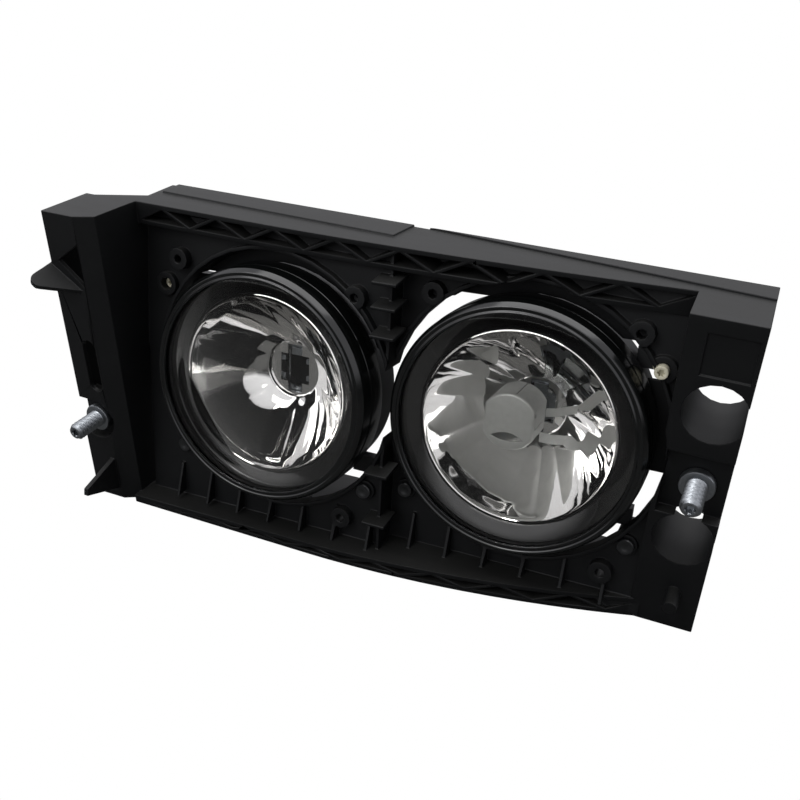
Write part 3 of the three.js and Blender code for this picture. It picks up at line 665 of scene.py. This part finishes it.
# %% A tree that presses flutes into a bowl
tree, entry, result = new_tree("press_flutes", Flutes=6.0, Depth=0.4 * MM, Turn=0.0, Sway=0.0)
x, y, z, angle = point_parts(tree)
wander = field(tree, "SINE", product(tree, angle, 5.0))
swayed = field(tree, "ADD", field(tree, "ADD", angle, entry.outputs["Turn"]),
               product(tree, entry.outputs["Sway"], wander))
half_turns = product(tree, swayed, product(tree, entry.outputs["Flutes"], 0.5))
hollow = field(tree, "ABSOLUTE", field(tree, "SINE", half_turns))
sunk = product(tree, product(tree, hollow, entry.outputs["Depth"]), stored(tree, "flute"))
offset = add_node(tree, "ShaderNodeCombineXYZ", {"Y": sunk})
shaped = add_node(tree, "GeometryNodeSetPosition", {"Geometry": entry.outputs["Geometry"], "Offset": offset})
tree.links.new(shaped.outputs[0], result.inputs[0])
flute_tree = tree

# %% Bowls
CROSS = ((9.0, 8.0), (4.6, 13.8))
BOWL_WALL = 1.6


def cross_edge(angle):
    """How far the cross-shaped hole reaches at this angle: the further of its two bars."""
    across, up = max(abs(cos(angle)), 1e-9), max(abs(sin(angle)), 1e-9)
    return max(min(width / across, height / up) for width, height in CROSS)


def cross_angles(steps):
    """Even angles, and those of the cross's corners, so that the corners come out sharp."""
    corners = [atan2(height, width) for width, height in CROSS] + [atan2(CROSS[0][1], CROSS[1][0])]
    every = {round(tau * k / steps, 6) for k in range(steps)}
    for corner in corners:
        every |= {round(a % tau, 6) for a in (corner, -corner, pi - corner, pi + corner)}
        every |= {round((a + side * 0.004) % tau, 6) for a in (corner, -corner, pi - corner, pi + corner)
                  for side in (-1, 1)}
    return sorted(every)


def bowl_profile(depth):
    """Front from rim to neck, the flat floor to the hole, and the same again one wall further back."""
    steps = 40
    radii = [RIM_R + (NECK_R - RIM_R) * k / steps for k in range(steps + 1)]
    span = RIM_R ** 2 - NECK_R ** 2
    front = [(r, depth * (RIM_R ** 2 - r * r) / span + 0.2) for r in radii]
    back = [(r + 0.9, y + BOWL_WALL) for r, y in reversed(front)]
    lip = [(RIM_R + 1.3, 1.6), (RIM_R + 1.45, 0.1), (RIM_R + 1.2, -0.5), (RIM_R + 0.7, -0.7), (RIM_R + 0.25, -0.4)]
    neck = [(NECK_R + 0.1, depth + 0.6), (NECK_R - 0.5, depth + 0.9), (NECK_R - 0.7, depth + 2.2),
            (NECK_R - 1.2, depth + 2.6)]
    floor = [(cross_edge, depth + 2.6), (cross_edge, depth + 4.2), (NECK_R + 0.6, depth + 4.2)]
    return lip + front + neck + floor + back


def flute_weight(depth):
    """No flutes at the rim and the neck, so that the lip and the floor stay true circles."""
    def weight(radius, y):
        on_bowl = y < depth + 0.5 + BOWL_WALL and radius > NECK_R + 0.2
        share = (radius - NECK_R) / (RIM_R - NECK_R)
        return max(0.0, min(1.0, share * 5, (1.0 - share) * 8)) if on_bowl else 0.0
    return weight


PATTERN = {"left": {"Flutes": 6.0, "Depth": 1.3 * MM, "Turn": 0.35, "Sway": 0.05},
           "right": {"Flutes": 16.0, "Depth": 0.45 * MM, "Turn": 0.1, "Sway": 0.07}}
for side in SIDES:
    shape = turned(bowl_profile(DEPTH[side]), angles=cross_angles(264))
    bowl = new_piece(f"{side}_mirror_bowl", shape, Matrix.Identity(4), bowl_mirror)
    weigh(bowl, "flute", flute_weight(DEPTH[side]))
    run_tree(bowl, flute_tree, **PATTERN[side])
    bowl.data.transform(lamp_place[side])
    clean_mesh(bowl.data)
    settle(bowl, f"{side}_lamp", "reflector_coating", f"{side}_reflector")

# %% [markdown]
# ## Bulb holder and wire clip
# Behind the cross sits a pressed steel plate with a round seat for the bulb and four springy fingers bent forward
# into the light. Behind that, a wire loop presses the bulb home: it hinges in two ears and swings back to let the
# bulb out. The wire is one bent rod, so it is drawn as a rounded path with a round section.

# %% Bulb holders
def holder_shape(depth):
    seat = turned(softened([(11.6, 0.0), (15.0, 0.0), (15.0, 1.0), (11.6, 1.0)], 0.2, 2), 64)
    plate = ([(px, y + depth + 5.6, pz) for px, y, pz in seat[0]], seat[1])
    fingers = []
    for way in (-1, 1):
        for low, high in ((3.4, 6.2), (-6.4, -3.8)):
            near, far = sorted((way * 6.6, way * 9.2))
            fingers.append(block((near, far), (depth + 3.6, depth + 5.6), (low, high)))
            near, far = sorted((way * 8.6, way * 12.4))
            fingers.append(block((near, far), (depth + 5.6, depth + 6.5), (low, high)))
        fingers.append(block((way * 2.6 - 0.9, way * 2.6 + 0.9), (depth + 3.9, depth + 5.8), (-12.6, -10.4)))
        fingers.append(block((way * 9 - 1.6, way * 9 + 1.6), (depth + 6.4, depth + 10.4), (11.2, 12.2)))
    bridge = block((-3.4, 3.4), (depth + 4.4, depth + 5.6), (7.4, 11.4))
    return joined(plate, bridge, *fingers)


for side in SIDES:
    lamp_piece(side, "pressed_holder", holder_shape(DEPTH[side]), "zinc_steel", ["bulb_holder"],
               bevel=0.25)

# %% Wire clips
def wire(points, radius, bend, steps=6):
    """A rounded path through the points with a round section, as corners and faces."""
    path = []
    for i, corner in enumerate(points):
        here = Vector(corner)
        if i in (0, len(points) - 1):
            path.append(here)
            continue
        before, after = ((Vector(points[j]) - here).normalized() * bend + here for j in (i - 1, i + 1))
        path += [before * (1 - t) ** 2 + here * 2 * t * (1 - t) + after * t ** 2 for t in
                 (k / steps for k in range(steps + 1))]
    corners, faces, around = [], [], 10
    side_way = None
    for i, here in enumerate(path):
        ahead = (path[min(i + 1, len(path) - 1)] - path[max(i - 1, 0)]).normalized()
        side_way = (side_way or ahead.orthogonal())
        side_way = (side_way - ahead * side_way.dot(ahead)).normalized()
        other = ahead.cross(side_way)
        corners += [tuple(here + (side_way * cos(a) + other * sin(a)) * radius) for a in
                    (tau * k / around for k in range(around))]
    for i in range(len(path) - 1):
        for k in range(around):
            a, b = i * around + k, i * around + (k + 1) % around
            faces.append([a, b, b + around, a + around])
    last = (len(path) - 1) * around
    faces += [list(range(around)), [last + k for k in range(around)]]
    return corners, faces


for side in SIDES:
    back = DEPTH[side] + 8.7
    loop = [(-7.0, back, 9.9), (-7.0, back, -13.4), (7.0, back, -13.4), (7.0, back, 9.9)]
    path = [(-0.4, back, 9.9)] + loop + [(0.4, back, 9.9)]
    lamp_piece(side, "wire_clip", wire(path, 0.65, 2.2), "spring_steel", ["bulb_clip"],
               body=f"{side}_clip")

# %% [markdown]
# ## The bulb and its shield
# Only the right lamp holds a bulb. It is a slim quartz tube with a coiled filament, and in front of it stands a
# grey sheet cup on two legs, so that no light leaves the lamp except by way of the bowl. The cup is a drum with two
# flattened sides, a folded edge and an eye-shaped slot low in its face.
# The filament is a helix: the spiral and sweep nodes draw it from its turns, radius and length.

# %% Shield
SHIELD = Vector((-5.0, 0.0, 1.0))
CUP_R, CUP_HALF, CUP_FRONT, CUP_BACK, SHEET = 14.6, 12.6, 4.0, 24.0, 0.8


def cup_edge(inset):
    """The cup's outline: a circle whose left and right are pressed flat."""
    return lambda angle: min(CUP_R - inset, (CUP_HALF - inset) / max(abs(cos(angle)), 1e-9))


def cup_shape():
    fold = 1.4
    arc = [(fold * (1 - sin(t)), fold * (1 - cos(t))) for t in (pi / 2 * k / 5 for k in range(6))]
    face = [(0, CUP_FRONT)] + [(cup_edge(inset), CUP_FRONT + drop) for inset, drop in arc]
    inner = [(cup_edge(SHEET), CUP_BACK), (cup_edge(SHEET), CUP_FRONT + fold),
             (cup_edge(fold + 0.3), CUP_FRONT + SHEET), (0, CUP_FRONT + SHEET)]
    corners, faces = turned(face + [(cup_edge(0.0), CUP_BACK)] + inner, 120)
    return [(cx + SHIELD.x, cy, cz + SHIELD.z) for cx, cy, cz in corners], faces


def eye_cutter():
    """A lens-shaped prism: two arcs that meet in points, run through the cup's face."""
    half, rise, steps, centre = 8.4, 2.9, 14, -8.2
    top = [(half * t, rise * (1 - t * t)) for t in (2 * k / steps - 1 for k in range(steps + 1))]
    outline = top + [(px, -pz * 0.55) for px, pz in reversed(top[1:-1])]
    ends = (CUP_FRONT - 3, CUP_FRONT + 3)
    corners = [(px + SHIELD.x, cy, pz + centre + SHIELD.z) for cy in ends for px, pz in outline]
    count = len(outline)
    sides = [[k, (k + 1) % count, count + (k + 1) % count, count + k] for k in range(count)]
    return corners, sides + [list(range(count)), [count + k for k in range(count)]]


def seam_cutters():
    """Thin slits where the sheet was folded round, and a small hole beside the seam."""
    x, z = SHIELD.x, SHIELD.z
    return joined(block((x + 2.0, x + 2.5), (CUP_FRONT + 1.6, CUP_BACK + 1), (z + 10, z + 16)),
                  block((x + 9, x + 16), (CUP_FRONT + 3, CUP_BACK + 1), (z - 2.6, z - 2.1)),
                  block((x + 11, x + 14), (CUP_FRONT + 1.0, CUP_FRONT + 2.6), (z + 4.2, z + 5.8)))


def carve(piece, *cutters):
    """Cuts shapes, drawn in the right lamp's frame, out of a piece."""
    for shape in cutters:
        tool = new_piece("cutter", shape, lamp_place["right"], shield_steel)
        cut = piece.modifiers.new("cut", "BOOLEAN")
        cut.operation, cut.solver, cut.object = "DIFFERENCE", "EXACT", tool
        bake(piece)
        bpy.data.objects.remove(tool)
    clean_mesh(piece.data)


shield = new_piece("right_bulb_shield_cup", cup_shape(), lamp_place["right"], shield_steel)
carve(shield, eye_cutter(), seam_cutters())
settle(shield, "right_lamp", "shield_steel", "right_bulb_shield")
LEG = 0.5
upper_leg = [(8.4, 21.5, 3.0), (13.0, 23.0, 3.4), (22.0, 30.0, 4.6)]
lower_leg = [(6.5, 21.5, -10.5), (12.0, 25.0, -12.0), (19.0, 32.0, -13.5)]


def strap(points, half_width):
    """A flat strip of sheet that bends through the points, its width upright."""
    corners, faces = [], []
    for px, py, pz in points:
        for up in (-half_width, half_width):
            for thick in (-LEG / 2, LEG / 2):
                corners.append((px, py + thick, pz + up))
    for i in range(len(points) - 1):
        a = 4 * i
        faces += [[a, a + 4, a + 5, a + 1], [a + 2, a + 3, a + 7, a + 6], [a, a + 2, a + 6, a + 4],
                  [a + 1, a + 5, a + 7, a + 3]]
    last = 4 * (len(points) - 1)
    return corners, faces + [[0, 1, 3, 2], [last, last + 2, last + 3, last + 1]]


legs = joined(strap(upper_leg, 2.2), strap(lower_leg, 2.6))
lamp_piece("right", "shield_legs", legs, "shield_steel", [], bevel=0.15)

# %% Bulb and filament
quartz_profile = [(0, 40.4), (5.0, 40.4), (5.2, 39.4), (5.2, 21.5), (4.9, 19.6), (4.0, 18.0), (2.6, 17.0),
                  (1.2, 16.6), (0, 16.5)]
quartz = turned(softened(quartz_profile, 0.4, 3), 48)
lamp_piece("right", "quartz_tube", quartz, "bulb_quartz", ["bulb_glass"])
base_profile = [(0, 40.7), (9.6, 40.7), (9.6, 41.7), (5.2, 41.7), (5.2, 49.7), (0, 49.7)]
flange = turned(softened(base_profile, 0.25, 3), 64)
lamp_piece("right", "bulb_flange", flange, "zinc_steel", ["bulb_base"])

tree, entry, result = new_tree("wind_coil", Turns=9.0, Radius=0.8 * MM, Length=5.0 * MM, Wire=0.12 * MM)
spiral = add_node(tree, "GeometryNodeCurveSpiral", {
    "Resolution": 14, "Rotations": entry.outputs["Turns"], "Start Radius": entry.outputs["Radius"],
    "End Radius": entry.outputs["Radius"], "Height": entry.outputs["Length"]})
section = add_node(tree, "GeometryNodeCurvePrimitiveCircle", {"Resolution": 6, "Radius": entry.outputs["Wire"]})
swept = add_node(tree, "GeometryNodeCurveToMesh",
                 {"Curve": spiral, "Profile Curve": section, "Fill Caps": True})
finished = add_node(tree, "GeometryNodeSetMaterial", {"Geometry": swept, "Material": tungsten})
tree.links.new(finished.outputs[0], result.inputs[0])
coil_tree = tree
filament = new_piece("right_filament", block((0, 1), (0, 1), (0, 1)), Matrix.Identity(4), tungsten)
run_tree(filament, coil_tree, Turns=9.0)
filament.data.transform(lamp_place["right"] @ Matrix.Translation((0, 24 * MM, -2.5 * MM)))
settle(filament, "right_lamp", "spring_steel")

# %% [markdown]
# ## Lamp bodies
# Each body is a black bowl that closes the lamp from behind, with a round chamber for the bulb. Two cups low down
# snap over the pivot balls, and an arm on the outer side carries the nut of the aim screw. Fins stand round the
# chamber, where the moulding needs stiffness: one fin is drawn and geometry nodes repeat it round the axis.

# %% Fins repeated round an axis
def ring_of(name, piece, finish, **sizes):
    """A tree that sets copies of the piece evenly on a circle about the Y axis, each turned to face outwards."""
    tree, entry, result = new_tree(name, **sizes)
    circle = add_node(tree, "GeometryNodeMeshCircle",
                      {"Vertices": entry.outputs["Count"], "Radius": entry.outputs["Radius"]})
    upright = add_node(tree, "GeometryNodeTransform", {"Geometry": circle, "Rotation": (pi / 2, 0.0, 0.0)})
    where = add_node(tree, "GeometryNodeInputPosition")
    turn = add_node(tree, "FunctionNodeAlignRotationToVector", {"Vector": where}, axis="X", pivot_axis="Y")
    copies = add_node(tree, "GeometryNodeInstanceOnPoints",
                      {"Points": upright, "Instance": entry.outputs["Geometry"], "Rotation": turn})
    solid = add_node(tree, "GeometryNodeRealizeInstances", {"Geometry": copies})
    finished = add_node(tree, "GeometryNodeSetMaterial", {"Geometry": solid, "Material": finish})
    tree.links.new(finished.outputs[0], result.inputs[0])
    run_tree(piece, tree)
    return piece


def shape_of(piece):
    """A helper piece's corners and faces in millimetres, after which the helper is gone."""
    corners = [tuple(corner.co / MM) for corner in piece.data.vertices]
    faces = [list(face.vertices) for face in piece.data.polygons]
    bpy.data.objects.remove(piece)
    return corners, faces


def shifted(shape, x=0.0, y=0.0, z=0.0):
    corners, faces = shape
    return [(cx + x, cy + y, cz + z) for cx, cy, cz in corners], faces


def fins(name, fin, finish, count, radius):
    """A ring of count fins in millimetres."""
    helper = new_piece(name, fin, Matrix.Identity(4), finish)
    return shape_of(ring_of(name, helper, finish, Count=count, Radius=radius * MM))


# %% Lamp body shapes
PIVOT_X, PIVOT_Z, PIVOT_Y = 57.8, -50.0, 22.0
AIM_AT = {"left": (-67.0, 43.0), "right": (61.0, 39.0)}
CUP_Y, CHAMBER_R = 25.5, 31.0
BODY_PROFILE = [
    (57.5, -0.5), (60.6, -0.5), (60.6, 32.7), (57.4, 37.8), (CHAMBER_R, 41.8),
    (CHAMBER_R, 62.4), (CHAMBER_R - 0.6, 63.0), (CHAMBER_R - 0.6, 65.8), (CHAMBER_R - 2.2, 65.8),
    (CHAMBER_R - 2.2, 39.8), (56.2, 35.9), (57.6, 32.6)]


def cup(x, z, outer, inner, depth):
    """An open cup about the Y axis, with a rounded mouth."""
    profile = softened([(inner, depth[0]), (outer, depth[0]), (outer, depth[1]), (inner, depth[1])], 0.5, 3)
    return shifted(turned(profile, 40), x=x, z=z)


def body_shape(side):
    aim_x, aim_z = AIM_AT[side]
    way = 1 if aim_x > 0 else -1
    root = 44.0 if side == "left" else 47.0
    reach = sorted((way * root, aim_x - way * 5.8))
    shapes = [turned(softened(BODY_PROFILE, 0.5, 3), 120),
              cup(aim_x, aim_z, 6.9, 5.6, (CUP_Y - 4, CUP_Y + 4)),
              block(reach, (CUP_Y - 3, CUP_Y + 3), (aim_z - 5, aim_z + 5))]
    for way in (-1, 1):
        near, far = sorted((way * 45.0, way * (PIVOT_X - 1.0)))
        shapes.append(cup(way * PIVOT_X, PIVOT_Z, 6.2, 4.5, (PIVOT_Y - 5.5, PIVOT_Y + 5.5)))
        shapes.append(block((near, far), (PIVOT_Y - 3, PIVOT_Y + 3), (PIVOT_Z + 4.6, PIVOT_Z + 14)))
    socket = [block((-9, -7), (40, 54), (-44, -30)), block((7, 9), (40, 54), (-44, -30)),
              block((-7, 7), (40, 42.5), (-44, -30)), block((-7, 7), (52, 54), (-44, -30)),
              block((-7, 7), (42.5, 52), (-33, -30))]
    fin = block((-0.5, 22.0), (38.6, 41.5), (-0.8, 0.8))
    slope = [(x, y + (x < 0) * 16.0 * (y > 40), z) for x, y, z in fin[0]]
    ring = fins(f"{side}_body_fins", (slope, fin[1]), lamp_plastic, 12, CHAMBER_R)
    return joined(*shapes, *socket, ring)


for side in SIDES:
    lamp_piece(side, "lamp_shell", body_shape(side), "lamp_plastic", ["lamp_body"],
               bevel=0.4)

# %% [markdown]
# ## Rear caps and their seals
# A cap twists off to reach the bulb. It has a bar to grip and small ribs all round its skirt, another ring made by
# the same tree. Its seal is a plain rubber ring round the chamber.

# %% Rear caps
CAP_PROFILE = [
    (0, 70.2), (7.0, 70.2), (8.0, 69.6), (24.0, 69.6), (26.0, 70.3), (30.5, 69.6), (33.2, 68.4), (33.7, 66.0),
    (33.7, 58.1), (32.2, 58.1), (31.8, 66.8), (26.0, 67.7), (0, 67.7)]


def cap_shape(side):
    grip = block((-19.6, 19.6), (69.0, 76.8), (-1.9, 1.9))
    tapered = [(x * (1.0 if y < 70 else 0.9), y, z * (1.0 if y < 70 else 0.8)) for x, y, z in grip[0]]
    hub = turned(softened([(0, 69.0), (6.9, 69.0), (6.9, 73.8), (0, 73.8)], 0.6, 3), 48)
    ribs = fins(f"{side}_cap_ribs", block((-0.4, 0.45), (58.3, 66.6), (-0.6, 0.6)), cap_plastic, 48, 33.7)
    return joined(turned(softened(CAP_PROFILE, 0.5, 3), 120), (tapered, grip[1]), hub, ribs)


for side in SIDES:
    lamp_piece(side, "twist_cap", cap_shape(side), "cap_plastic", ["rear_cap"], body=f"{side}_cap",
               bevel=0.3)
    section = [(32.4 + cos(tau * k / 14), 56.3 + 1.05 * sin(tau * k / 14)) for k in range(14)]
    lamp_piece(side, "rubber_ring", turned(section, 96), "seal_rubber", ["cap_seal"])

# %% [markdown]
# ## Pivots, aim screw and its nut
# Two black acetal balls on stalks snap into the plate and carry the lamp low down. The aim screw, natural nylon,
# pushes or pulls the third corner: its coarse thread is cut by the same tree as the studs' threads, and its head has
# the same star socket. The nut is a nylon bush held in the body's cup.

# %% Pivots and aiming
ball = [(4.0 * cos(a), PIVOT_Y + 4.0 * sin(a)) for a in (radians(-52 + 142 * k / 20) for k in range(21))]
pivot_profile = [(0, 5.6), (1.6, 5.6), (2.0, 5.4), (3.7, 5.4), (4.1, 5.8), (4.1, 7.4), (3.7, 7.7), (2.4, 7.7)]
pivot_profile += ball[:-1] + [(0, PIVOT_Y + 4.0)]
AIM_SHANK, AIM_THREAD_END = 2.4, CUP_Y + 13.0
AIM_HEAD = {"left": 11.0, "right": 3.0}


def aim_screw_profile(head):
    socket = [(0, head + 2.6), (0.7, head + 2.6), (1.5, head + 2.4), (1.5, head + 0.3), (1.8, head)]
    crown = [(2.8, head), (3.1, head + 0.3), (3.1, 15.2), (3.4, 15.4), (5.3, 15.4), (5.6, 15.7), (5.6, 16.7),
             (5.3, 17.0)]
    thread = rows(AIM_SHANK, 17.1, AIM_THREAD_END - 0.9, 0.25)
    return socket + crown + thread + [(1.7, AIM_THREAD_END), (0, AIM_THREAD_END)]


for side in SIDES:
    for way, letter in ((-1, "a"), (1, "b")):
        pivot = shifted(turned(pivot_profile, 40), x=way * PIVOT_X, z=PIVOT_Z)
        lamp_piece(side, f"pivot_ball_{letter}", pivot, "pivot_acetal", [f"pivot_stud_{letter}"],
                   body="carrier")
    aim_x, aim_z = AIM_AT[side]
    screw = new_piece(f"{side}_adjusting_screw", turned(aim_screw_profile(AIM_HEAD[side]), 48), Matrix.Identity(4),
                      aim_nylon)
    weigh(screw, "thread", lambda radius, depth: float(abs(radius - AIM_SHANK) < 0.02 and depth > 17.5))
    weigh(screw, "star", lambda radius, depth: float(radius < 1.6 and radius > 0.5))
    run_tree(screw, thread_tree, Pitch=3.0 * MM, Depth=0.5 * MM, Lobe=0.17)
    screw.data.transform(lamp_place[side] @ Matrix.Translation((aim_x * MM, 0.0, aim_z * MM)))
    clean_mesh(screw.data)
    settle(screw, f"{side}_aim", "aim_nylon", f"{side}_aim_screw")
    bush = softened([(2.9, 21.7), (4.7, 21.7), (5.1, 22.6), (5.1, 27.0), (4.6, 27.6), (4.6, 31.4), (2.9, 31.4)],
                    0.3, 3)
    lamp_piece(side, "snap_nut", shifted(turned(bush, 48), x=aim_x, z=aim_z), "aim_nylon", ["aim_nut"])

# %% [markdown]
# ## Inserts and contact pins
# A steel insert with a knurled shank holds each stud in the carrier. Two tinned pins stand in each lamp's socket.

# %% Inserts and pins
def knurled(radius):
    return lambda angle: radius - 0.3 * abs(cos(18 * angle))


insert_profile = [(5.2, 0.2), (5.4, 0.0), (6.6, 0.0), (6.8, 0.2), (6.8, 1.8), (6.6, 2.0), (6.0, 2.3), (5.8, 3.0),
                  (knurled(6.1), 3.2), (knurled(6.1), 8.6), (5.7, 9.0), (5.2, 9.0)]
for side in SIDES:
    seat = front_of(f"{side}_stud_sleeve")
    insert = new_piece(f"{side}_knurled_insert", turned(insert_profile, 144), seat, zinc_steel)
    settle(insert, "carrier", "zinc_steel", f"{side}_stud_sleeve")
    for way, letter in ((-1, "a"), (1, "b")):
        blade = block((way * 3.5 - 0.4, way * 3.5 + 0.4), (46.85, 47.65), (-41.9, -33.2))
        lamp_piece(side, f"contact_pin_{letter}", blade, "pin_brass", [f"connector_pin_{letter}"],
                   bevel=0.12)
